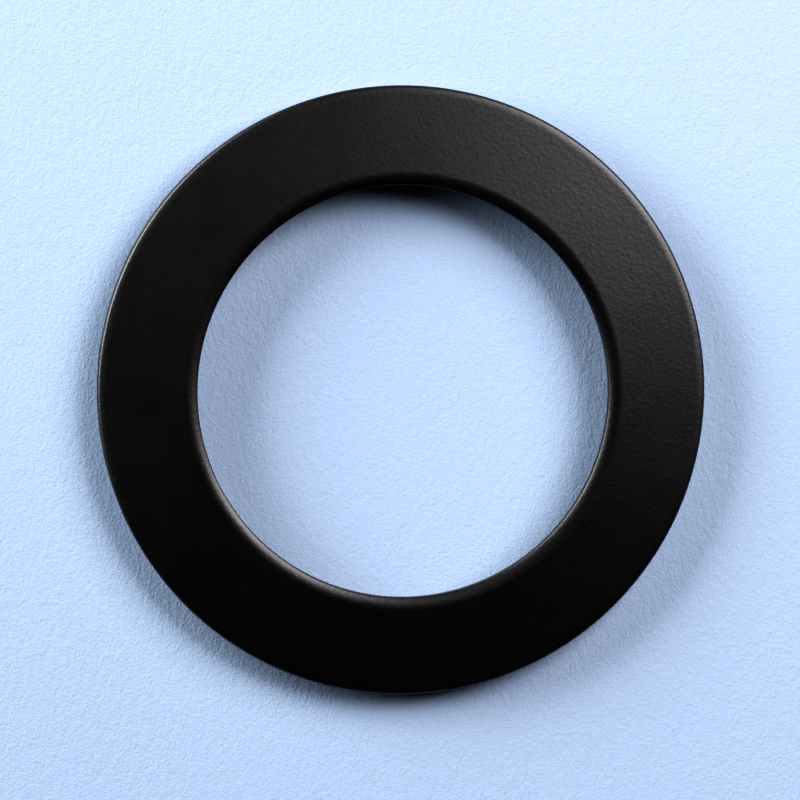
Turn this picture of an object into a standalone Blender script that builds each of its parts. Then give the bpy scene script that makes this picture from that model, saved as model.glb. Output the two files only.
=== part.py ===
"""Ring insulator: a black moulded cover ring that twists on to a screwed base ring.

The cover has a conical face, a rounded lip round its hole and a rounded outer rim. Four lugs on
the neck under the lip slide under ledges on the base (a bayonet), and a rubber cushion ring presses
the lugs up against them. The base sits on a foam gasket and is held by four pan-head screws with washers.

Metres, +Z up, out of the panel. The origin is the ring's centre on the panel's surface.
"""

import math

import bmesh
import bpy
from mathutils import Matrix, Vector

MM = 0.001

# The cover ring, which sets the whole size
OUTER_RADIUS = 75.0 * MM
HOLE_RADIUS = 50.6 * MM  # at the lip
CREST_HEIGHT = 9.2 * MM
FACE_SLOPE = math.radians(9.0)  # the face falls away outward
LIP_BOTTOM = 5.5 * MM
LIP_ROUND = 0.5 * MM  # the lip's two corners
BROW_SLOPE = math.radians(34.0)  # slope where the lip's corner meets the crown
CROWN_ROUND = 4.5 * MM  # from the lip over to the face
SHOULDER_ROUND = 8.0 * MM  # from the face towards the outer rim
SHOULDER_END = math.radians(20.0)  # slope where the shoulder meets the rim
RIM_ROUND = 1.2 * MM
COVER_WALL = 1.8 * MM
NECK_RADIUS = 52.1 * MM  # the wall set back under the lip
NECK_WALL = 1.3 * MM
GAP = 0.3 * MM  # between faces that touch
PANEL_CLEARANCE = 0.3 * MM  # under the cover's two walls
LOCK_TURN = math.radians(18.0)  # from locked to where the cover lifts off

# Bayonet: lugs on the cover, ledges and stops on the base
LUG_COUNT = 4
LUG_WIDTH = 11.0 * MM
LUG_THICKNESS = 1.3 * MM
LUG_BOTTOM = 2.9 * MM
LUG_REACH = 56.4 * MM  # radius of the lug's tip
STOP_THICKNESS = 2.0 * MM
STOP_PLAY = 0.15 * MM
NOTCH_WIDTH = 12.0 * MM

# Base ring
PLATE_BOTTOM = 0.9 * MM
PLATE_TOP = 2.6 * MM
PLATE_INNER = 54.8 * MM
PLATE_OUTER = 72.6 * MM
LEDGE_INNER = 54.5 * MM
LEDGE_BOTTOM = LUG_BOTTOM + LUG_THICKNESS + GAP
COLLAR_INNER = 57.0 * MM
COLLAR_OUTER = 59.0 * MM
COLLAR_TOP = 5.8 * MM
KERB_INNER = 70.8 * MM
KERB_TOP = 3.4 * MM
WEEP_WIDTH = 6.0 * MM

# Fixing screws, in pockets between the collar and the kerb
SCREW_COUNT = 4
SCREW_FIRST_ANGLE = math.radians(45.0)
SCREW_CIRCLE = 66.0 * MM
POCKET_RADIUS = 4.2 * MM
POCKET_FLOOR = 1.9 * MM
HOLE_IN_BASE = 2.3 * MM
HOLE_IN_GASKET = 2.6 * MM
WASHER_RADIUS = 3.8 * MM
WASHER_BORE = 2.05 * MM
WASHER_THICKNESS = 0.7 * MM
HEAD_RADIUS = 3.4 * MM
HEAD_HEIGHT = 1.5 * MM
HEAD_SIDE = 0.6 * MM  # under the domed crown
SHANK_RADIUS = 1.75 * MM
SHANK_LENGTH = 16.0 * MM
TIP_LENGTH = 3.0 * MM
RECESS_WIDTH = 0.9 * MM
RECESS_LENGTH = 3.6 * MM
RECESS_DEPTH = 0.9 * MM

# Soft rings
GASKET_INNER = 55.6 * MM
GASKET_OUTER = 72.0 * MM
GASKET_THICKNESS = 0.6 * MM
CUSHION_CORD = 1.4 * MM  # the cord's radius

# Facets
RING_STEPS = 72
CUSHION_STEPS = 60
SMALL_STEPS = 24
LIP_STEPS = 4
CROWN_STEPS = 6
SHOULDER_STEPS = 2
RIM_STEPS = 4
CUSHION_SIDES = 8
DOME_STEPS = 3
MERGE = 1e-5
SMOOTH_ANGLE = math.radians(35.0)


def clear_scene():
    """Removes every object of the open scene."""
    for obj in list(bpy.data.objects):
        bpy.data.objects.remove(obj, do_unlink=True)


def new_collection(name):
    """A collection of this name, linked into the scene."""
    collection = bpy.data.collections.new(name)
    bpy.context.scene.collection.children.link(collection)
    return collection


def new_material(name, colour, roughness, metallic=0.0):
    """A Principled material."""
    material = bpy.data.materials.new(name)
    material.use_nodes = True
    material.diffuse_color = (*colour, 1.0)
    shader = material.node_tree.nodes["Principled BSDF"]
    shader.inputs["Base Color"].default_value = (*colour, 1.0)
    shader.inputs["Roughness"].default_value = roughness
    shader.inputs["Metallic"].default_value = metallic
    return material


def new_object(name, mesh, collection, parent=None, material=None):
    """An object that holds the mesh, smooth where its facets nearly line up."""
    obj = bpy.data.objects.new(name, mesh)
    collection.objects.link(obj)
    obj.parent = parent
    if material is not None:
        mesh.materials.append(material)
    mesh.shade_smooth()
    mesh.set_sharp_from_angle(angle=SMOOTH_ANGLE)
    return obj


def new_empty(name, collection):
    """An empty at the origin, with its Z arrow along the ring's axis."""
    empty = bpy.data.objects.new(name, None)
    empty.empty_display_type = "ARROWS"
    empty.empty_display_size = OUTER_RADIUS
    collection.objects.link(empty)
    return empty


def arc(centre_x, centre_z, radius, start, end, steps):
    """Points of an arc in the XZ plane, both ends included."""
    points = []
    for i in range(steps + 1):
        angle = start + (end - start) * i / steps
        points.append((centre_x + radius * math.cos(angle), centre_z + radius * math.sin(angle)))
    return points


def turned_mesh(name, profile, closed=True):
    """A mesh that holds only the profile's edges, for a Screw modifier to turn."""
    mesh = bpy.data.meshes.new(name)
    shape = bmesh.new()
    corners = [shape.verts.new((x, 0.0, z)) for x, z in profile]
    for first, second in zip(corners, corners[1:]):
        shape.edges.new((first, second))
    if closed:
        shape.edges.new((corners[-1], corners[0]))
    shape.to_mesh(mesh)
    shape.free()
    return mesh


def turned(name, profile, steps, collection, parent=None, material=None, closed=True):
    """A solid of revolution about Z. The profile runs down its outer side, top to bottom."""
    mesh = turned_mesh(name, profile, closed)
    obj = new_object(name, mesh, collection, parent, material)
    screw = obj.modifiers.new("turn", "SCREW")
    screw.axis = "Z"
    screw.angle = math.tau
    screw.steps = steps
    screw.render_steps = steps
    screw.use_merge_vertices = True
    screw.merge_threshold = MERGE
    screw.use_smooth_shade = True
    return obj


def hide_helper(obj):
    """Marks a cutter or a piece to be joined: no render, wire only."""
    obj.hide_render = True
    obj.display_type = "WIRE"


def boolean(target, helper, operation):
    """Cuts or joins the helper, which must be a mesh object."""
    modifier = target.modifiers.new(helper.name, "BOOLEAN")
    modifier.operation = operation
    modifier.object = helper
    modifier.solver = "EXACT"


def box(name, lower, upper, angle, collection):
    """A helper box between two corners, then turned about Z by the angle."""
    mesh = bpy.data.meshes.new(name)
    shape = bmesh.new()
    bmesh.ops.create_cube(shape, size=1.0)
    size = Vector(upper) - Vector(lower)
    middle = (Vector(upper) + Vector(lower)) / 2
    bmesh.ops.scale(shape, vec=size, verts=shape.verts)
    bmesh.ops.translate(shape, vec=middle, verts=shape.verts)
    shape.to_mesh(mesh)
    shape.free()
    obj = new_object(name, mesh, collection)
    obj.rotation_euler.z = angle
    hide_helper(obj)
    return obj


def drum(name, radius, low, high, place, collection):
    """A helper cylinder along Z between two heights, centred on a place in the XY plane."""
    mesh = bpy.data.meshes.new(name)
    shape = bmesh.new()
    bmesh.ops.create_cone(
        shape,
        cap_ends=True,
        segments=SMALL_STEPS,
        radius1=radius,
        radius2=radius,
        depth=high - low,
        matrix=Matrix.Translation((0.0, 0.0, (low + high) / 2)),
    )
    shape.to_mesh(mesh)
    shape.free()
    obj = new_object(name, mesh, collection)
    obj.location = (place.x, place.y, 0.0)
    hide_helper(obj)
    return obj


def screw_angles():
    """The angles of the fixing screws about the ring's axis."""
    return [SCREW_FIRST_ANGLE + math.tau * i / SCREW_COUNT for i in range(SCREW_COUNT)]


def screw_places():
    """The screws' places in the XY plane."""
    return [
        Vector((SCREW_CIRCLE * math.cos(a), SCREW_CIRCLE * math.sin(a), 0.0))
        for a in screw_angles()
    ]


def lug_angles():
    """The angles of the lugs with the cover locked."""
    return [math.tau * i / LUG_COUNT for i in range(LUG_COUNT)]


def crown_centre():
    """Centre of the crown's arc in the cover's section."""
    reach = LIP_ROUND + (CROWN_ROUND - LIP_ROUND) * math.sin(BROW_SLOPE)
    return HOLE_RADIUS + reach, CREST_HEIGHT - CROWN_ROUND


def face_line(offset):
    """Height at a radius of the surface this far under the face, as a function."""
    crown_x, crown_z = crown_centre()
    rise = (CROWN_ROUND - offset) / math.cos(FACE_SLOPE)
    return lambda radius: crown_z + rise - (radius - crown_x) * math.tan(FACE_SLOPE)


def cover_profile():
    """The cover's section: up the neck, round the lip, over the face, down outside, back inside."""
    up = math.pi / 2
    crown_x, crown_z = crown_centre()
    lip_x = HOLE_RADIUS + LIP_ROUND
    lip_z = crown_z + (CROWN_ROUND - LIP_ROUND) * math.cos(BROW_SLOPE)
    rim_x = OUTER_RADIUS - RIM_ROUND
    shoulder_x = rim_x - (SHOULDER_ROUND - RIM_ROUND) * math.sin(SHOULDER_END)
    shoulder_z = face_line(SHOULDER_ROUND)(shoulder_x)
    rim_z = shoulder_z + (SHOULDER_ROUND - RIM_ROUND) * math.cos(SHOULDER_END)
    inside_x = OUTER_RADIUS - COVER_WALL
    neck_back = NECK_RADIUS + NECK_WALL
    brow = up + BROW_SLOPE
    face = up - FACE_SLOPE
    bend = up - SHOULDER_END
    points = [(NECK_RADIUS, PANEL_CLEARANCE), (NECK_RADIUS, LIP_BOTTOM)]
    points += arc(lip_x, LIP_BOTTOM + LIP_ROUND, LIP_ROUND, math.pi + up, math.pi, LIP_STEPS)
    points += arc(lip_x, lip_z, LIP_ROUND, math.pi, brow, LIP_STEPS)
    points += arc(crown_x, crown_z, CROWN_ROUND, brow, face, CROWN_STEPS)[1:]
    points += arc(shoulder_x, shoulder_z, SHOULDER_ROUND, face, bend, SHOULDER_STEPS)
    points += arc(rim_x, rim_z, RIM_ROUND, bend, 0.0, RIM_STEPS)[1:]
    points.append((OUTER_RADIUS, PANEL_CLEARANCE))
    points.append((inside_x, PANEL_CLEARANCE))
    points.append((inside_x, face_line(COVER_WALL)(inside_x)))
    points.append((neck_back, face_line(COVER_WALL)(neck_back)))
    points.append((neck_back, PANEL_CLEARANCE))
    return points


def make_cover(parts, helpers, axis, material):
    """The moulded cover with its four lugs."""
    cover = turned("cover_ring", cover_profile(), RING_STEPS, parts, axis, material)
    for number, angle in enumerate(lug_angles(), 1):
        lug = box(
            f"lug_{number}",
            (NECK_RADIUS + NECK_WALL / 2, -LUG_WIDTH / 2, LUG_BOTTOM),
            (LUG_REACH, LUG_WIDTH / 2, LUG_BOTTOM + LUG_THICKNESS),
            angle,
            helpers,
        )
        lug.parent = axis
        boolean(cover, lug, "UNION")
    return cover


def base_profile():
    """The base's section: plate, collar with its inward ledge, and outer kerb."""
    return [
        (PLATE_INNER, PLATE_BOTTOM),
        (PLATE_INNER, PLATE_TOP),
        (COLLAR_INNER, PLATE_TOP),
        (COLLAR_INNER, LEDGE_BOTTOM),
        (LEDGE_INNER, LEDGE_BOTTOM),
        (LEDGE_INNER, COLLAR_TOP),
        (COLLAR_OUTER, COLLAR_TOP),
        (COLLAR_OUTER, PLATE_TOP),
        (KERB_INNER, PLATE_TOP),
        (KERB_INNER, KERB_TOP),
        (PLATE_OUTER, KERB_TOP),
        (PLATE_OUTER, PLATE_BOTTOM),
    ]


def stop_box(name, side, angle, helpers):
    """A stop that the lug meets on this side, -1 or 1, when the cover stands at this angle."""
    near = LUG_WIDTH / 2 + STOP_PLAY
    far = near + STOP_THICKNESS
    low_y, high_y = sorted((side * near, side * far))
    sunk = GAP / 2
    lower = (LEDGE_INNER, low_y, PLATE_TOP - sunk)
    upper = (COLLAR_INNER + sunk, high_y, LEDGE_BOTTOM + sunk)
    return box(name, lower, upper, angle, helpers)


def make_base(parts, helpers, frame, material):
    """The base ring: turned, then notched for the lugs, given stops, and drilled."""
    base = turned("base_ring", base_profile(), RING_STEPS, parts, frame, material)
    for number, angle in enumerate(lug_angles(), 1):
        notch = box(
            f"notch_{number}",
            (LEDGE_INNER - COVER_WALL, -NOTCH_WIDTH / 2, LEDGE_BOTTOM - GAP),
            (COLLAR_INNER - GAP, NOTCH_WIDTH / 2, COLLAR_TOP + GAP),
            angle + LOCK_TURN,
            helpers,
        )
        boolean(base, notch, "DIFFERENCE")
        weep = box(
            f"weep_{number}",
            (KERB_INNER - COVER_WALL, -WEEP_WIDTH / 2, PLATE_TOP),
            (PLATE_OUTER + COVER_WALL, WEEP_WIDTH / 2, KERB_TOP + GAP),
            angle,
            helpers,
        )
        boolean(base, weep, "DIFFERENCE")
    for number, angle in enumerate(lug_angles(), 1):
        boolean(base, stop_box(f"locked_stop_{number}", -1, angle, helpers), "UNION")
        boolean(base, stop_box(f"open_stop_{number}", 1, angle + LOCK_TURN, helpers), "UNION")
    for number, place in enumerate(screw_places(), 1):
        pocket = drum(
            f"pocket_{number}", POCKET_RADIUS, POCKET_FLOOR, KERB_TOP, place, helpers
        )
        boolean(base, pocket, "DIFFERENCE")
        hole = drum(f"base_hole_{number}", HOLE_IN_BASE, 0.0, KERB_TOP, place, helpers)
        boolean(base, hole, "DIFFERENCE")
    return base


def make_gasket(parts, helpers, frame, material):
    """The flat foam ring under the base, with a hole for each screw."""
    profile = [
        (GASKET_INNER, 0.0),
        (GASKET_INNER, GASKET_THICKNESS),
        (GASKET_OUTER, GASKET_THICKNESS),
        (GASKET_OUTER, 0.0),
    ]
    gasket = turned("gasket", profile, RING_STEPS, parts, frame, material)
    for number, place in enumerate(screw_places(), 1):
        hole = drum(f"gasket_hole_{number}", HOLE_IN_GASKET, -PLATE_TOP, PLATE_TOP, place, helpers)
        boolean(gasket, hole, "DIFFERENCE")
    return gasket


def make_cushion(parts, frame, material):
    """The rubber cord ring that lies round the collar."""
    centre_x = COLLAR_OUTER + GAP + CUSHION_CORD
    centre_z = PLATE_TOP + GAP + CUSHION_CORD
    profile = arc(centre_x, centre_z, CUSHION_CORD, math.pi, -math.pi, CUSHION_SIDES)
    return turned("cushion_ring", profile[:-1], CUSHION_STEPS, parts, frame, material)


def screw_profile():
    """Half a pan-head screw, from the crown on its axis down to the point."""
    seat = POCKET_FLOOR + GAP + WASHER_THICKNESS + GAP
    tip = seat - SHANK_LENGTH
    dome_rise = HEAD_HEIGHT - HEAD_SIDE
    dome_radius = (dome_rise**2 + HEAD_RADIUS**2) / (2 * dome_rise)
    dome_end = math.acos(HEAD_RADIUS / dome_radius)
    dome_centre = seat + HEAD_HEIGHT - dome_radius
    points = [(0.0, seat + HEAD_HEIGHT)]
    points += arc(0.0, dome_centre, dome_radius, math.pi / 2, dome_end, DOME_STEPS)[1:]
    points.append((HEAD_RADIUS, seat))
    points.append((SHANK_RADIUS, seat))
    points.append((SHANK_RADIUS, tip + TIP_LENGTH))
    points.append((0.0, tip))
    return points


def make_screws(parts, helpers, frame, material):
    """The fixing screws, each with a cross recess in its head."""
    crown = screw_profile()[0][1]
    for number, place in enumerate(screw_places(), 1):
        screw = turned(
            f"screw_{number}", screw_profile(), SMALL_STEPS, parts, frame, material, closed=False
        )
        screw.location = place
        for arm, turn in enumerate((0.0, math.pi / 2), 1):
            cutter = box(
                f"recess_{number}_{arm}",
                (-RECESS_LENGTH / 2, -RECESS_WIDTH / 2, crown - RECESS_DEPTH),
                (RECESS_LENGTH / 2, RECESS_WIDTH / 2, crown + RECESS_DEPTH),
                turn,
                helpers,
            )
            cutter.location = place
            boolean(screw, cutter, "DIFFERENCE")


def make_washers(parts, frame, material):
    """A flat washer under each screw's head."""
    low = POCKET_FLOOR + GAP
    high = low + WASHER_THICKNESS
    profile = [
        (WASHER_BORE, low),
        (WASHER_BORE, high),
        (WASHER_RADIUS, high),
        (WASHER_RADIUS, low),
    ]
    for number, place in enumerate(screw_places(), 1):
        washer = turned(f"washer_{number}", profile, SMALL_STEPS, parts, frame, material)
        washer.location = place


def main():
    clear_scene()
    parts = new_collection("ring_insulator")
    helpers = new_collection("ring_insulator_cutters")
    helpers.hide_render = True

    frame = new_empty("panel_centre", parts)
    cover_axis = new_empty("cover_twist_axis", parts)

    black_moulding = new_material("black_moulding", (0.012, 0.012, 0.013), 0.42)
    grey_moulding = new_material("grey_moulding", (0.060, 0.062, 0.065), 0.55)
    foam = new_material("foam", (0.030, 0.030, 0.031), 0.95)
    rubber = new_material("rubber", (0.018, 0.018, 0.018), 0.80)
    plated_steel = new_material("plated_steel", (0.62, 0.61, 0.58), 0.30, 1.0)

    make_cover(parts, helpers, cover_axis, black_moulding)
    make_base(parts, helpers, frame, grey_moulding)
    make_gasket(parts, helpers, frame, foam)
    make_cushion(parts, frame, rubber)
    make_screws(parts, helpers, frame, plated_steel)
    make_washers(parts, frame, plated_steel)


main()
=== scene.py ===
import math

import bmesh
import bpy
from mathutils import Matrix, Vector


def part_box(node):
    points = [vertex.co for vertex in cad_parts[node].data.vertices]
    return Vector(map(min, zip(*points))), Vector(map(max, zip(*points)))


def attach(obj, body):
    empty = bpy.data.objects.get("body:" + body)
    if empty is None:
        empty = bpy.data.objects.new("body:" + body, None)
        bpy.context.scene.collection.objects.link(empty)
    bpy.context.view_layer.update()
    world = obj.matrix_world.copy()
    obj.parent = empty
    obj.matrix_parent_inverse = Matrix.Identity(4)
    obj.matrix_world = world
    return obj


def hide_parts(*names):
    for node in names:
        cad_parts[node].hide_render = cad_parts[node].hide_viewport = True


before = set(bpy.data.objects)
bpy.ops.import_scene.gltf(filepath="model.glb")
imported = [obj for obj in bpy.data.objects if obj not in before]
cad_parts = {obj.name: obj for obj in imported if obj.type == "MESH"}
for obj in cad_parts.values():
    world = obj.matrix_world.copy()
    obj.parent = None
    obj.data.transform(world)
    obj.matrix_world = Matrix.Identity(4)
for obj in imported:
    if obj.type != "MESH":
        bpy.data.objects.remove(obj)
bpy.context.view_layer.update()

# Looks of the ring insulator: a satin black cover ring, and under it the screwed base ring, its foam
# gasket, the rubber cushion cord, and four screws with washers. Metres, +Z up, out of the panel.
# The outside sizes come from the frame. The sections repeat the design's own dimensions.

MM = 0.001

# Sizes from the frame
COVER_LOW, COVER_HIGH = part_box("cover_ring")
BASE_LOW, BASE_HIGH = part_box("base_ring")
GASKET_LOW, GASKET_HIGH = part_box("gasket")
SCREW_NUMBERS = (1, 2, 3, 4)
OUTER_RADIUS = COVER_HIGH.x
FOOT = COVER_LOW.z

# Cover section
HOLE_RADIUS = 50.6 * MM  # at the lip
CREST_HEIGHT = COVER_HIGH.z
FACE_SLOPE = math.radians(9.0)
LIP_BOTTOM = 5.5 * MM
LIP_ROUND = 0.5 * MM
BROW_SLOPE = math.radians(34.0)  # slope where the lip's corner meets the crown
CROWN_ROUND = 4.5 * MM
SHOULDER_ROUND = 8.0 * MM
SHOULDER_END = math.radians(20.0)
RIM_ROUND = 1.2 * MM
COVER_WALL = 1.8 * MM
NECK_RADIUS = 52.1 * MM  # the wall set back under the lip
NECK_WALL = 1.3 * MM
FOOT_ROUND = 0.3 * MM
INSIDE_FILLET = 0.8 * MM

# Lugs, ledges and stops
LUG_COUNT = 4
LUG_WIDTH = 11.0 * MM
LUG_THICKNESS = 1.3 * MM
LUG_BOTTOM = 2.9 * MM
LUG_REACH = 56.4 * MM
LUG_ROUND = 0.25 * MM
LUG_RAMP = 2.2 * MM
LUG_RAMP_DROP = 0.5 * MM
LOCK_TURN = math.radians(18.0)
STOP_THICKNESS = 2.0 * MM
STOP_PLAY = 0.15 * MM
NOTCH_WIDTH = 12.0 * MM

# Base section
PLATE_INNER = 54.8 * MM
PLATE_TOP = 2.6 * MM
LEDGE_INNER = 54.5 * MM
LEDGE_BOTTOM = 4.5 * MM
COLLAR_INNER = 57.0 * MM
COLLAR_OUTER = 59.0 * MM
KERB_INNER = 70.8 * MM
KERB_TOP = 3.4 * MM
WEEP_WIDTH = 6.0 * MM
BASE_ROUND = 0.25 * MM

# Pockets, holes and the fasteners in them
POCKET_RADIUS = 4.2 * MM
POCKET_FLOOR = 1.9 * MM
HOLE_IN_BASE = 2.3 * MM
HOLE_IN_GASKET = 2.6 * MM
MOUTH_CHAMFER = 0.3 * MM
WASHER_BORE = 2.05 * MM
WASHER_ROUND = 0.12 * MM
HEAD_RADIUS = 3.4 * MM
HEAD_HEIGHT = 1.5 * MM
HEAD_SIDE = 0.6 * MM
SHANK_RADIUS = 1.75 * MM
CORE_RADIUS = 1.2 * MM
TIP_LENGTH = 3.0 * MM
HEAD_EDGE = 0.15 * MM  # from the crown's edge out to the head's side
HEAD_SIDE_DROP = 0.05 * MM
HEAD_UNDER_CUT = 0.12 * MM
SHANK_IN_HEAD = 0.5 * MM
SHANK_SIDES = 32
LAYERS_PER_TURN = 14
THREAD_SHARPNESS = 3.2
THREAD_PITCH = 1.4 * MM
THREAD_RUN_OUT = 1.6 * MM
RECESS_LENGTH = 3.6 * MM
RECESS_WIDTH = 0.9 * MM
RECESS_DEPTH = 0.9 * MM
CUSHION_CORD = 1.4 * MM
CUSHION_CENTRE = 60.7 * MM
CUSHION_HEIGHT = 4.3 * MM
GASKET_INNER = 55.6 * MM
CUSHION_SIDES = 28
FLASH_HEIGHT = 0.05 * MM
SCREW_TURN = 0.35  # the heads' crosses stand at odd angles, in radians
SCREW_TURN_STEP = 1.9

# Facets
FINE_STEPS = 480
BASE_STEPS = 288
SMALL_STEPS = 48
FOOT_STEPS = 4
FILLET_STEPS = 6
LIP_STEPS = 6
CROWN_STEPS = 24
SHOULDER_STEPS = 8
RIM_STEPS = 12
HEAD_STEPS = 12
SMOOTH_ANGLE = math.radians(32.0)
MERGE_DISTANCE = 0.002 * MM

# How far a joined or cutting shape runs past the surface that it meets
SUNK = 0.15 * MM
SPARE = 0.3 * MM
WEEP_ABOVE_PLATE = 0.02 * MM
HOLE_CHAMFER = 0.2 * MM
GASKET_ROUND = 0.15 * MM

# Camera and stage
CAMERA_HEIGHT = 0.900
CAMERA_TILT = math.radians(6.1)
CAMERA_SIDE = math.radians(150.0)
SENSOR = 0.036
VIEW_WIDTH = 0.19665
AIM_HEIGHT = 5.1 * MM  # of the face's outer edge
AIM_RIGHT = -0.76 * MM
AIM_UP = -2.17 * MM
FLOOR_SIZE = 6.0
LIGHT_DISTANCE = 1.3
WARM = (1.0, 0.97, 0.98)
COOL = (0.96, 0.98, 1.0)


def arc(centre_x, centre_z, radius, start, end, steps):
    """Points of an arc in the section, both ends included."""
    points = []
    for i in range(steps + 1):
        angle = start + (end - start) * i / steps
        points.append((centre_x + radius * math.cos(angle), centre_z + radius * math.sin(angle)))
    return points


def rounded(corners, radius, steps=3):
    """A closed outline with every corner rounded, or cut less where an edge is short."""
    points = []
    count = len(corners)
    for i in range(count):
        here = Vector(corners[i])
        before = Vector(corners[i - 1]) - here
        after = Vector(corners[(i + 1) % count]) - here
        reach = min(radius, before.length * 0.45, after.length * 0.45)
        first = here + before.normalized() * reach
        last = here + after.normalized() * reach
        for k in range(steps + 1):
            t = k / steps
            point = first * (1 - t) ** 2 + here * (2 * t * (1 - t)) + last * t**2
            points.append((point.x, point.y))
    return points


def finish_mesh(name, shape):
    """A mesh object from a bmesh, with its normals outward and its smooth parts smooth."""
    bmesh.ops.recalc_face_normals(shape, faces=shape.faces)
    mesh = bpy.data.meshes.new(name)
    shape.to_mesh(mesh)
    shape.free()
    mesh.shade_smooth()
    mesh.set_sharp_from_angle(angle=SMOOTH_ANGLE)
    obj = bpy.data.objects.new(name, mesh)
    bpy.context.scene.collection.objects.link(obj)
    return obj


def turned(name, outline, steps, closed=True):
    """A solid turned about Z from an outline of radius and height."""
    shape = bmesh.new()
    corners = [shape.verts.new((x, 0.0, z)) for x, z in outline]
    edges = [shape.edges.new(pair) for pair in zip(corners, corners[1:])]
    if closed:
        edges.append(shape.edges.new((corners[-1], corners[0])))
    bmesh.ops.spin(
        shape,
        geom=corners + edges,
        cent=(0.0, 0.0, 0.0),
        axis=(0.0, 0.0, 1.0),
        angle=math.tau,
        steps=steps,
        use_merge=True,
    )
    bmesh.ops.remove_doubles(shape, verts=shape.verts, dist=MERGE_DISTANCE)
    return finish_mesh(name, shape)


def block(name, lower, upper, angle, round_edges=0.0):
    """A box between two corners, with rounded edges if asked, turned about Z."""
    shape = bmesh.new()
    bmesh.ops.create_cube(shape, size=1.0)
    bmesh.ops.scale(shape, vec=Vector(upper) - Vector(lower), verts=shape.verts)
    bmesh.ops.translate(shape, vec=(Vector(upper) + Vector(lower)) / 2, verts=shape.verts)
    if round_edges:
        bmesh.ops.bevel(
            shape,
            geom=list(shape.edges),
            offset=round_edges,
            segments=3,
            profile=0.5,
            affect="EDGES",
        )
    bmesh.ops.rotate(
        shape, cent=(0.0, 0.0, 0.0), matrix=Matrix.Rotation(angle, 3, "Z"), verts=shape.verts
    )
    return finish_mesh(name, shape)


def moved(obj, place):
    """The same object with its mesh shifted, so that the object stays at the origin."""
    obj.data.transform(Matrix.Translation(place))
    return obj


def combine(target, helpers, operation):
    """Cuts or joins the helpers one by one, then removes them."""
    for helper in helpers:
        modifier = target.modifiers.new(helper.name, "BOOLEAN")
        modifier.operation = operation
        modifier.object = helper
        modifier.solver = "EXACT"
    bpy.context.view_layer.update()
    result = bpy.data.meshes.new_from_object(
        target.evaluated_get(bpy.context.evaluated_depsgraph_get())
    )
    target.modifiers.clear()
    target.data = result
    result.name = target.name
    for helper in helpers:
        bpy.data.objects.remove(helper, do_unlink=True)
    result.shade_smooth()
    result.set_sharp_from_angle(angle=SMOOTH_ANGLE)
    return target


def lug_angles():
    """The lugs' angles with the cover locked."""
    return [math.tau * i / LUG_COUNT for i in range(LUG_COUNT)]


def screw_places():
    """The screws' axes, from the frame."""
    places = []
    for number in SCREW_NUMBERS:
        low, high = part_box(f"screw_{number}")
        middle = (low + high) / 2
        places.append(Vector((middle.x, middle.y, 0.0)))
    return places


def crown_centre():
    """Centre of the crown's arc in the cover's section."""
    reach = LIP_ROUND + (CROWN_ROUND - LIP_ROUND) * math.sin(BROW_SLOPE)
    return HOLE_RADIUS + reach, CREST_HEIGHT - CROWN_ROUND


def under_face(depth, radius):
    """Height at a radius of the surface this far under the face."""
    crown_x, crown_z = crown_centre()
    rise = (CROWN_ROUND - depth) / math.cos(FACE_SLOPE)
    return crown_z + rise - (radius - crown_x) * math.tan(FACE_SLOPE)


def cover_section():
    """The cover's wall: up the neck, round the lip, over the face, down outside, back inside."""
    up = math.pi / 2
    down = -up
    brow = up + BROW_SLOPE
    face = up - FACE_SLOPE
    bend = up - SHOULDER_END
    crown_x, crown_z = crown_centre()
    lip_x = HOLE_RADIUS + LIP_ROUND
    lip_z = crown_z + (CROWN_ROUND - LIP_ROUND) * math.cos(BROW_SLOPE)
    rim_x = OUTER_RADIUS - RIM_ROUND
    shoulder_x = rim_x - (SHOULDER_ROUND - RIM_ROUND) * math.sin(SHOULDER_END)
    shoulder_z = under_face(SHOULDER_ROUND, shoulder_x)
    rim_z = shoulder_z + (SHOULDER_ROUND - RIM_ROUND) * math.cos(SHOULDER_END)
    neck_back = NECK_RADIUS + NECK_WALL
    outer_back = OUTER_RADIUS - COVER_WALL
    corner_x = outer_back - INSIDE_FILLET
    corner_z = under_face(COVER_WALL + INSIDE_FILLET, corner_x)
    root_x = neck_back + INSIDE_FILLET
    root_z = under_face(COVER_WALL + INSIDE_FILLET, root_x)
    low = FOOT + FOOT_ROUND
    points = arc(NECK_RADIUS + FOOT_ROUND, low, FOOT_ROUND, down, -math.pi, FOOT_STEPS)
    points.append((NECK_RADIUS, LIP_BOTTOM))
    lip_low = LIP_BOTTOM + LIP_ROUND
    points += arc(lip_x, lip_low, LIP_ROUND, math.pi + up, math.pi, LIP_STEPS)
    points += arc(lip_x, lip_z, LIP_ROUND, math.pi, brow, LIP_STEPS)
    points += arc(crown_x, crown_z, CROWN_ROUND, brow, face, CROWN_STEPS)[1:]
    points += arc(shoulder_x, shoulder_z, SHOULDER_ROUND, face, bend, SHOULDER_STEPS)
    points += arc(rim_x, rim_z, RIM_ROUND, bend, 0.0, RIM_STEPS)[1:]
    points += arc(OUTER_RADIUS - FOOT_ROUND, low, FOOT_ROUND, 0.0, down, FOOT_STEPS)
    points += arc(outer_back + FOOT_ROUND, low, FOOT_ROUND, down, -math.pi, FOOT_STEPS)
    points += arc(corner_x, corner_z, INSIDE_FILLET, 0.0, face, FILLET_STEPS)
    points += arc(root_x, root_z, INSIDE_FILLET, face, math.pi, FILLET_STEPS)
    points += arc(neck_back - FOOT_ROUND, low, FOOT_ROUND, 0.0, down, FOOT_STEPS)
    return points


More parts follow.
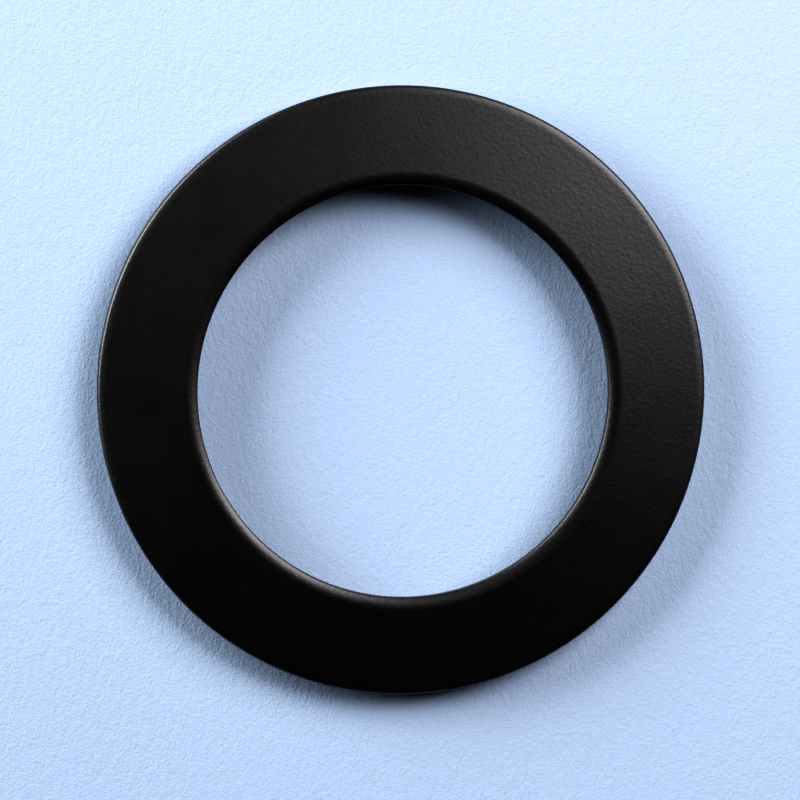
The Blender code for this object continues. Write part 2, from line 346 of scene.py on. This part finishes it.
def lug(number, angle):
    """One bayonet lug: a rounded tab, its top ramped where it slides in under the ledge."""
    tab = block(
        f"lug_{number}",
        (NECK_RADIUS + NECK_WALL / 2, -LUG_WIDTH / 2, LUG_BOTTOM),
        (LUG_REACH, LUG_WIDTH / 2, LUG_BOTTOM + LUG_THICKNESS),
        0.0,
        LUG_ROUND,
    )
    for vertex in tab.data.vertices:
        into = (-LUG_WIDTH / 2 + LUG_RAMP - vertex.co.y) / LUG_RAMP
        above = (vertex.co.z - LUG_BOTTOM) / LUG_THICKNESS
        vertex.co.z -= LUG_RAMP_DROP * max(0.0, into) * above
    tab.data.transform(Matrix.Rotation(angle, 4, "Z"))
    return tab


def make_cover():
    """The moulded cover with its lugs."""
    cover = turned("cover_moulding", cover_section(), FINE_STEPS)
    lugs = [lug(number, angle) for number, angle in enumerate(lug_angles(), 1)]
    return combine(cover, lugs, "UNION")


def base_section():
    """The base's outline: plate, collar with its inward ledge, and outer kerb."""
    low, top, outer = BASE_LOW.z, BASE_HIGH.z, BASE_HIGH.x
    corners = [
        (PLATE_INNER, low),
        (PLATE_INNER, PLATE_TOP),
        (COLLAR_INNER, PLATE_TOP),
        (COLLAR_INNER, LEDGE_BOTTOM),
        (LEDGE_INNER, LEDGE_BOTTOM),
        (LEDGE_INNER, top),
        (COLLAR_OUTER, top),
        (COLLAR_OUTER, PLATE_TOP),
        (KERB_INNER, PLATE_TOP),
        (KERB_INNER, KERB_TOP),
        (outer, KERB_TOP),
        (outer, low),
    ]
    return rounded(corners, BASE_ROUND)


def stop_block(name, side, angle):
    """A stop that the lug meets on this side, -1 or 1, when the cover stands at this angle."""
    near = LUG_WIDTH / 2 + STOP_PLAY
    low_y, high_y = sorted((side * near, side * (near + STOP_THICKNESS)))
    lower = (LEDGE_INNER, low_y, PLATE_TOP - SUNK)
    upper = (COLLAR_INNER + SUNK, high_y, LEDGE_BOTTOM + SUNK)
    return block(name, lower, upper, angle)


def hole_cutter(name, radius, floor, mouth, chamfer, place):
    """A round cutter that widens by the chamfer at its mouth."""
    over = chamfer
    outline = [
        (0.0, mouth + over),
        (radius + chamfer + over, mouth + over),
        (radius, mouth - chamfer),
        (radius, floor),
        (0.0, floor),
    ]
    return moved(turned(name, outline, SMALL_STEPS, closed=False), place)


def make_base():
    """The base ring: notched for the lugs, with stops, weep notches, pockets and holes."""
    base = turned("base_moulding", base_section(), BASE_STEPS)
    cutters = []
    stops = []
    for number, angle in enumerate(lug_angles(), 1):
        lower = (LEDGE_INNER - COVER_WALL, -NOTCH_WIDTH / 2, LEDGE_BOTTOM - SPARE)
        upper = (COLLAR_INNER - SPARE, NOTCH_WIDTH / 2, BASE_HIGH.z + SPARE)
        cutters.append(block(f"notch_{number}", lower, upper, angle + LOCK_TURN))
        lower = (KERB_INNER - COVER_WALL, -WEEP_WIDTH / 2, PLATE_TOP + WEEP_ABOVE_PLATE)
        upper = (BASE_HIGH.x + COVER_WALL, WEEP_WIDTH / 2, KERB_TOP + SPARE)
        cutters.append(block(f"weep_{number}", lower, upper, angle))
        stops.append(stop_block(f"locked_stop_{number}", -1, angle))
        stops.append(stop_block(f"open_stop_{number}", 1, angle + LOCK_TURN))
    for number, place in enumerate(screw_places(), 1):
        cutters.append(
            hole_cutter(
                f"pocket_{number}", POCKET_RADIUS, POCKET_FLOOR, PLATE_TOP, MOUTH_CHAMFER, place
            )
        )
        cutters.append(
            hole_cutter(
                f"hole_{number}", HOLE_IN_BASE, -PLATE_TOP, POCKET_FLOOR, HOLE_CHAMFER, place
            )
        )
    combine(base, cutters, "DIFFERENCE")
    return combine(base, stops, "UNION")


def make_gasket():
    """The die-cut foam ring, its edges a little rounded, with a hole for each screw."""
    outer = GASKET_HIGH.x
    corners = [
        (GASKET_INNER, GASKET_LOW.z),
        (GASKET_INNER, GASKET_HIGH.z),
        (outer, GASKET_HIGH.z),
        (outer, GASKET_LOW.z),
    ]
    gasket = turned("gasket_foam", rounded(corners, GASKET_ROUND), BASE_STEPS)
    holes = [
        hole_cutter(f"gasket_hole_{number}", HOLE_IN_GASKET, -PLATE_TOP, PLATE_TOP, 0.0, place)
        for number, place in enumerate(screw_places(), 1)
    ]
    return combine(gasket, holes, "DIFFERENCE")


def make_cushion():
    """The rubber cord ring, with the thin flash line that its mould leaves."""
    outline = []
    for i in range(CUSHION_SIDES):
        angle = math.tau * i / CUSHION_SIDES
        flash = FLASH_HEIGHT if i in (0, CUSHION_SIDES // 2) else 0.0
        radius = CUSHION_CORD - FLASH_HEIGHT + flash
        outline.append(
            (CUSHION_CENTRE + radius * math.cos(angle), CUSHION_HEIGHT + radius * math.sin(angle))
        )
    return turned("cushion_cord", outline, BASE_STEPS)


def make_washer(number, place):
    """A flat washer with its edges broken."""
    low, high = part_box(f"washer_{number}")
    outer = (high.x - low.x) / 2
    corners = [(WASHER_BORE, low.z), (WASHER_BORE, high.z), (outer, high.z), (outer, low.z)]
    washer = turned(f"washer_{number}_rounded", rounded(corners, WASHER_ROUND), SMALL_STEPS)
    return moved(washer, place)


def screw_head(seat):
    """The pan head, crowned, with a rounded rim and a stub to join the shank to."""
    rise = HEAD_HEIGHT - HEAD_SIDE
    dome = (rise**2 + HEAD_RADIUS**2) / (2 * rise)
    end = math.acos((HEAD_RADIUS - HEAD_EDGE) / dome)
    outline = [(0.0, seat + HEAD_HEIGHT)]
    outline += arc(0.0, seat + HEAD_HEIGHT - dome, dome, math.pi / 2, end, HEAD_STEPS)[1:]
    outline.append((HEAD_RADIUS, seat + HEAD_SIDE - HEAD_SIDE_DROP))
    outline.append((HEAD_RADIUS, seat + HEAD_UNDER_CUT))
    outline.append((HEAD_RADIUS - HEAD_UNDER_CUT, seat))
    outline.append((0.0, seat))
    return turned("head", outline, SMALL_STEPS, closed=False)


def recess_cutter(crown):
    """A cross that narrows towards its floor."""
    shape = bmesh.new()
    rings = []
    for height, scale in ((crown + 0.4 * MM, 1.12), (crown - RECESS_DEPTH, 0.62)):
        long = RECESS_LENGTH / 2 * scale
        wide = RECESS_WIDTH / 2 * scale
        quarter = [(long, -wide), (long, wide), (wide, wide)]
        ring = []
        for k in range(4):
            turn = Matrix.Rotation(k * math.pi / 2, 2)
            for x, y in quarter:
                point = turn @ Vector((x, y))
                ring.append(shape.verts.new((point.x, point.y, height)))
        rings.append(ring)
        shape.faces.new(ring)
    top, bottom = rings
    for i in range(len(top)):
        j = (i + 1) % len(top)
        shape.faces.new((top[i], top[j], bottom[j], bottom[i]))
    return finish_mesh("recess", shape)


def screw_shank(seat, tip):
    """The shank: one closed surface whose radius rises along a helix and dies out at both ends."""
    top = seat + SHANK_IN_HEAD
    layers = round((top - tip) / THREAD_PITCH * LAYERS_PER_TURN)
    shape = bmesh.new()
    rings = []
    for i in range(layers):
        height = top - (top - tip) * i / layers
        core = CORE_RADIUS * min(1.0, (height - tip) / TIP_LENGTH) ** 0.8
        fade_out = min(1.0, max(0.0, (seat - height) / THREAD_RUN_OUT))
        fade_tip = min(1.0, (height - tip) / TIP_LENGTH * 1.4)
        ring = []
        for k in range(SHANK_SIDES):
            angle = math.tau * k / SHANK_SIDES
            turn = height / THREAD_PITCH - k / SHANK_SIDES
            ridge = max(0.0, 1.0 - THREAD_SHARPNESS * abs(turn - round(turn)))
            radius = core + (SHANK_RADIUS - CORE_RADIUS) * ridge * fade_out * fade_tip
            ring.append(
                shape.verts.new((radius * math.cos(angle), radius * math.sin(angle), height))
            )
        rings.append(ring)
    shape.faces.new(rings[0])
    for upper, lower in zip(rings, rings[1:]):
        for k in range(SHANK_SIDES):
            j = (k + 1) % SHANK_SIDES
            shape.faces.new((upper[k], upper[j], lower[j], lower[k]))
    point = shape.verts.new((0.0, 0.0, tip))
    for k in range(SHANK_SIDES):
        shape.faces.new((rings[-1][k], rings[-1][(k + 1) % SHANK_SIDES], point))
    return finish_mesh("shank", shape)


def make_screw(number, place, turn):
    """A pan-head screw: threaded shank, crowned head, cross recess."""
    low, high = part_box(f"screw_{number}")
    seat = high.z - HEAD_HEIGHT
    screw = screw_head(seat)
    screw.name = f"screw_{number}_threaded"
    combine(screw, [recess_cutter(high.z)], "DIFFERENCE")
    combine(screw, [screw_shank(seat, low.z)], "UNION")
    screw.data.transform(Matrix.Rotation(turn, 4, "Z"))
    return moved(screw, place)


class Nodes:
    """Short calls to build one material's node tree."""

    def __init__(self, name, colour, roughness, metallic=0.0):
        self.material = bpy.data.materials.new(name)
        self.material.use_nodes = True
        self.material.diffuse_color = (*colour, 1.0)
        self.tree = self.material.node_tree
        self.shader = self.tree.nodes["Principled BSDF"]
        self.shader.inputs["Base Color"].default_value = (*colour, 1.0)
        self.shader.inputs["Roughness"].default_value = roughness
        self.shader.inputs["Metallic"].default_value = metallic
        self.place = self.tree.nodes.new("ShaderNodeTexCoord").outputs["Object"]

    def link(self, source, target):
        self.tree.links.new(source, target)

    def stretched(self, scale, turn=0.0):
        """The object's coordinates, stretched and turned about Z."""
        node = self.tree.nodes.new("ShaderNodeMapping")
        node.inputs["Scale"].default_value = scale
        node.inputs["Rotation"].default_value = (0.0, 0.0, turn)
        self.link(self.place, node.inputs["Vector"])
        return node.outputs["Vector"]

    def noise(self, scale, detail=2.0, rough=0.5, distortion=0.0, place=None):
        """Noise from 0 to 1. The scale is in cycles a metre."""
        node = self.tree.nodes.new("ShaderNodeTexNoise")
        node.inputs["Scale"].default_value = scale
        node.inputs["Detail"].default_value = detail
        node.inputs["Roughness"].default_value = rough
        node.inputs["Distortion"].default_value = distortion
        self.link(place or self.place, node.inputs["Vector"])
        return node.outputs["Fac"]

    def spread(self, value, low, high, new_low, new_high):
        """A value moved from one range to another, kept inside it."""
        node = self.tree.nodes.new("ShaderNodeMapRange")
        node.inputs["From Min"].default_value = low
        node.inputs["From Max"].default_value = high
        node.inputs["To Min"].default_value = new_low
        node.inputs["To Max"].default_value = new_high
        self.link(value, node.inputs["Value"])
        return node.outputs["Result"]

    def blend(self, factor, first, second):
        """A colour between two, by a factor."""
        node = self.tree.nodes.new("ShaderNodeMix")
        node.data_type = "RGBA"
        self.link(factor, node.inputs["Factor"])
        for socket, colour in ((node.inputs["A"], first), (node.inputs["B"], second)):
            if isinstance(colour, tuple):
                socket.default_value = (*colour, 1.0)
            else:
                self.link(colour, socket)
        return node.outputs["Result"]

    def bump(self, height, distance, strength=1.0, under=None):
        """A bump whose heights span this distance in metres, on top of another if given."""
        node = self.tree.nodes.new("ShaderNodeBump")
        node.inputs["Strength"].default_value = strength
        node.inputs["Distance"].default_value = distance
        self.link(height, node.inputs["Height"])
        if under is not None:
            self.link(under, node.inputs["Normal"])
        return node.outputs["Normal"]

    def surface(self, colour=None, roughness=None, normal=None):
        """Joins the finished values to the shader."""
        pairs = (("Base Color", colour), ("Roughness", roughness), ("Normal", normal))
        for socket, value in pairs:
            if value is not None:
                self.link(value, self.shader.inputs[socket])
        return self.material


def satin_black():
    """Black moulding: orange peel, faint cloudiness, and a few specks of dust."""
    make = Nodes("satin_black", (0.0022, 0.0021, 0.0021), 0.45)
    make.shader.inputs["Specular IOR Level"].default_value = 1.0
    peel = make.noise(1050.0, 2.0, 0.55)
    cloud = make.noise(70.0, 3.0, 0.6)
    dust = make.spread(make.noise(1400.0, 0.0), 0.865, 0.90, 0.0, 1.0)
    colour = make.blend(cloud, (0.0016, 0.0015, 0.0015), (0.0028, 0.0027, 0.0027))
    dusty = make.blend(dust, colour, (0.02, 0.02, 0.02))
    roughness = make.spread(cloud, 0.3, 0.7, 0.40, 0.44)
    return make.surface(dusty, roughness, make.bump(peel, 0.05 * MM))


def grey_moulding():
    """Dark grey filled nylon for the base: speckle, flow marks and a matt skin."""
    make = Nodes("grey_moulding", (0.060, 0.062, 0.065), 0.55)
    grain = make.noise(1600.0, 3.0, 0.6)
    flow = make.noise(60.0, 4.0, 0.6, 1.5)
    colour = make.blend(flow, (0.048, 0.050, 0.053), (0.075, 0.077, 0.080))
    roughness = make.spread(grain, 0.3, 0.7, 0.48, 0.64)
    return make.surface(colour, roughness, make.bump(grain, 0.02 * MM))


def cell_foam():
    """Closed-cell foam: small cells, some open at the cut faces, with painted shade darkening each
    cell's pit.
    """
    make = Nodes("cell_foam", (0.030, 0.030, 0.031), 0.95)
    cells = make.tree.nodes.new("ShaderNodeTexVoronoi")
    cells.inputs["Scale"].default_value = 2600.0
    make.link(make.place, cells.inputs["Vector"])
    depth = cells.outputs["Distance"]
    # Painted shade: the colour is darkest at each cell's centre, where the bump sinks its pit.
    colour = make.blend(depth, (0.018, 0.018, 0.019), (0.050, 0.050, 0.051))
    roughness = make.spread(depth, 0.0, 0.6, 0.86, 0.98)
    return make.surface(colour, roughness, make.bump(depth, 0.08 * MM))


def cord_rubber():
    """Black rubber with a dusty bloom."""
    make = Nodes("cord_rubber", (0.018, 0.018, 0.018), 0.80)
    bloom = make.noise(240.0, 4.0, 0.65)
    colour = make.blend(bloom, (0.013, 0.013, 0.013), (0.030, 0.030, 0.029))
    roughness = make.spread(bloom, 0.3, 0.7, 0.68, 0.88)
    return make.surface(colour, roughness, make.bump(make.noise(1800.0, 2.0), 0.01 * MM))


def zinc_plate():
    """Bright zinc plating, a little clouded and scuffed."""
    make = Nodes("zinc_plate", (0.62, 0.61, 0.58), 0.30, 1.0)
    cloud = make.noise(420.0, 3.0, 0.6)
    scuff = make.noise(300.0, 2.0, 0.5, 0.0, make.stretched((1.0, 9.0, 1.0), 0.6))
    colour = make.blend(cloud, (0.52, 0.52, 0.50), (0.70, 0.69, 0.65))
    roughness = make.spread(scuff, 0.3, 0.7, 0.22, 0.42)
    return make.surface(colour, roughness, make.bump(scuff, 0.006 * MM))


def painted_board():
    """Pale blue paint: brush marks laid askew, with a fine grain over them."""
    make = Nodes("painted_board", (0.56, 0.69, 0.89), 0.62)
    make.shader.inputs["Specular IOR Level"].default_value = 0.3
    streak = make.noise(620.0, 4.0, 0.65, 0.6, make.stretched((1.0, 0.55, 1.0), 0.9))
    grain = make.noise(1300.0, 2.0, 0.6)
    patch = make.noise(14.0, 3.0, 0.55)
    colour = make.blend(patch, (0.55, 0.68, 0.88), (0.57, 0.70, 0.90))
    roughness = make.spread(grain, 0.3, 0.7, 0.56, 0.68)
    fine = make.bump(grain, 0.09 * MM)
    return make.surface(colour, roughness, make.bump(streak, 0.15 * MM, 1.0, fine))


def dress(piece, material, body, slot, *nodes):
    """Gives a piece its finish and its body, and hides the CAD nodes it stands for."""
    piece.data.materials.clear()
    piece.data.materials.append(material)
    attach(piece, body)
    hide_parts(*nodes)


def make_object():
    """Every piece of the insulator."""
    steel = zinc_plate()
    dress(make_cover(), satin_black(), "cover", "black_moulding", "cover_ring")
    dress(make_base(), grey_moulding(), "base", "grey_moulding", "base_ring")
    dress(make_gasket(), cell_foam(), "base", "foam", "gasket")
    dress(make_cushion(), cord_rubber(), "base", "rubber", "cushion_ring")
    for number, place in zip(SCREW_NUMBERS, screw_places()):
        turn = SCREW_TURN + SCREW_TURN_STEP * number
        dress(make_screw(number, place, turn), steel, "base", "plated_steel", f"screw_{number}")
        dress(make_washer(number, place), steel, "base", "plated_steel", f"washer_{number}")


def make_floor():
    """The pale board that the insulator lies on."""
    shape = bmesh.new()
    bmesh.ops.create_grid(shape, x_segments=8, y_segments=8, size=FLOOR_SIZE / 2)
    floor = finish_mesh("board", shape)
    floor.data.materials.append(painted_board())


def make_light(name, side, down, wide, tall, power, colour):
    """A soft box at this side and this far down from overhead, facing the ring."""
    data = bpy.data.lights.new(name, "AREA")
    data.shape = "RECTANGLE"
    data.size = wide
    data.size_y = tall
    data.energy = power
    data.color = colour
    light = bpy.data.objects.new(name, data)
    bpy.context.scene.collection.objects.link(light)
    side = math.radians(side)
    down = math.radians(down)
    out = Vector(
        (math.sin(down) * math.cos(side), math.sin(down) * math.sin(side), math.cos(down))
    )
    light.location = out * LIGHT_DISTANCE
    light.rotation_mode = "QUATERNION"
    light.rotation_quaternion = out.to_track_quat("Z", "Y")
    return light


def make_lights():
    """Two wide soft boxes past the far corners, a weak one overhead, and a trace of fill."""
    # name, side and angle down from overhead in degrees, width, height, watts, colour
    make_light("soft_box_right", 38.0, 55.0, 1.00, 0.70, 12.9, WARM)
    make_light("soft_box_left", 153.0, 73.0, 1.20, 0.50, 18.3, COOL)
    make_light("soft_box_above", 60.0, 35.0, 0.90, 0.60, 1.0, WARM)
    world = bpy.data.worlds.new("studio")
    bpy.context.scene.world = world
    world.use_nodes = True
    background = world.node_tree.nodes["Background"]
    background.inputs["Color"].default_value = (*COOL, 1.0)
    background.inputs["Strength"].default_value = 0.01


def make_camera():
    """Almost straight down, a little off towards the upper left."""
    data = bpy.data.cameras.new("camera")
    camera = bpy.data.objects.new("camera", data)
    bpy.context.scene.collection.objects.link(camera)
    bpy.context.scene.camera = camera
    out = Vector(
        (
            math.sin(CAMERA_TILT) * math.cos(CAMERA_SIDE),
            math.sin(CAMERA_TILT) * math.sin(CAMERA_SIDE),
            math.cos(CAMERA_TILT),
        )
    )
    distance = CAMERA_HEIGHT / math.cos(CAMERA_TILT)
    right = Vector((0.0, 1.0, 0.0)).cross(out).normalized()
    up = out.cross(right)
    turn = Matrix((right, up, out)).transposed().to_4x4()
    aim = Vector((0.0, 0.0, AIM_HEIGHT)) + right * AIM_RIGHT + up * AIM_UP
    camera.matrix_world = Matrix.Translation(aim + out * distance) @ turn
    data.sensor_width = SENSOR * 1000
    data.lens = SENSOR * 1000 * distance / VIEW_WIDTH
    data.clip_start = 0.01
    data.clip_end = 20.0


make_object()
make_floor()
make_lights()
make_camera()
bpy.context.scene.view_settings.view_transform = "Standard"
bpy.context.scene.view_settings.look = "Very High Contrast"
